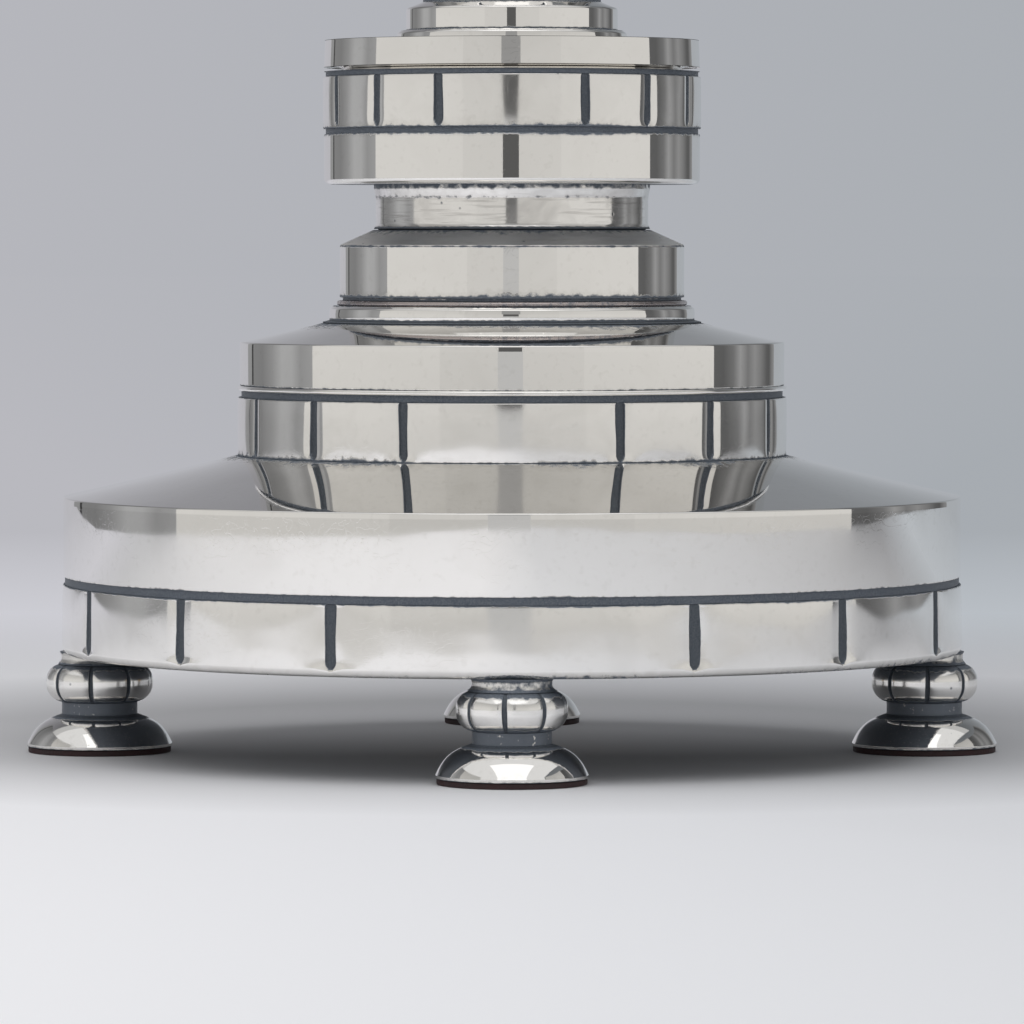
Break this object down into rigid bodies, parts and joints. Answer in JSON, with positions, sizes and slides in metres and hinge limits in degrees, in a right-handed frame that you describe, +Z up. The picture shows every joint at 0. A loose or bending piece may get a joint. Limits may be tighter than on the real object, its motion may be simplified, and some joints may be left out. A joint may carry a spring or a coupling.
{
  "type": "candlestick",
  "caption": "Stepped round candlestick on lobed feet, with grooved bands, a waisted neck, a column, a drip pan and a lift-out nozzle that holds a candle.",
  "frame": {"origin": "on the floor under the middle of the candlestick", "axes": "+Z up along the axis of the column, +X to the right and -Y towards the front foot"},
  "size_m": [0.162, 0.162, 0.2274],
  "materials": {
    "silver": "polished silver with fine scratches",
    "oxidised_silver": "dark matt oxidised silver",
    "pad": "dark red-brown leather disc",
    "brass": "turned brass"
  },
  "bodies": {
    "candlestick": {"base_chased_band": "silver", "base_plate": "silver", "base_shell": "silver", "candle_cup": "silver", "column": "silver", "column_lower_collar": "silver", "column_lower_moulding": "silver", "column_upper_collar": "silver", "column_upper_moulding": "silver", "cup_boss": "brass", "cup_chased_band": "silver", "cup_moulding": "silver", "drip_pan": "silver", "foot_bead_back": "silver", "foot_bead_front": "silver", "foot_bead_left": "silver", "foot_bead_right": "silver", "foot_collar_back": "silver", "foot_collar_front": "silver", "foot_collar_left": "silver", "foot_collar_right": "silver", "foot_dome_back": "silver", "foot_dome_front": "silver", "foot_dome_left": "silver", "foot_dome_right": "silver", "foot_neck_back": "oxidised_silver", "foot_neck_front": "oxidised_silver", "foot_neck_left": "oxidised_silver", "foot_neck_right": "oxidised_silver", "foot_nuts": "brass", "foot_pad_back": "pad", "foot_pad_front": "pad", "foot_pad_left": "pad", "foot_pad_right": "pad", "foot_screws": "brass", "foot_washers": "brass", "knop_cap": "silver", "knop_chased_band": "silver", "knop_floor": "silver", "knop_plain_band": "silver", "middle_chased_band": "silver", "middle_shell": "silver", "middle_wire": "silver", "neck": "silver", "pan_chased_wall": "silver", "pan_rim_wire": "silver", "pan_support": "silver", "tie_nut": "brass", "tie_rod": "brass", "tie_washer": "brass", "waist_drum": "silver", "waist_moulding": "silver", "waist_shoulder": "silver", "waist_wire": "silver"},
    "nozzle": {"nozzle_sleeve": "silver", "nozzle_flange": "silver"}
  },
  "joints": [
    {"name": "nozzle_lift", "type": "slide", "parent": "candlestick", "child": "nozzle", "axis": [0, 0, 1], "range_m": [0, 0.026]}
  ]
}
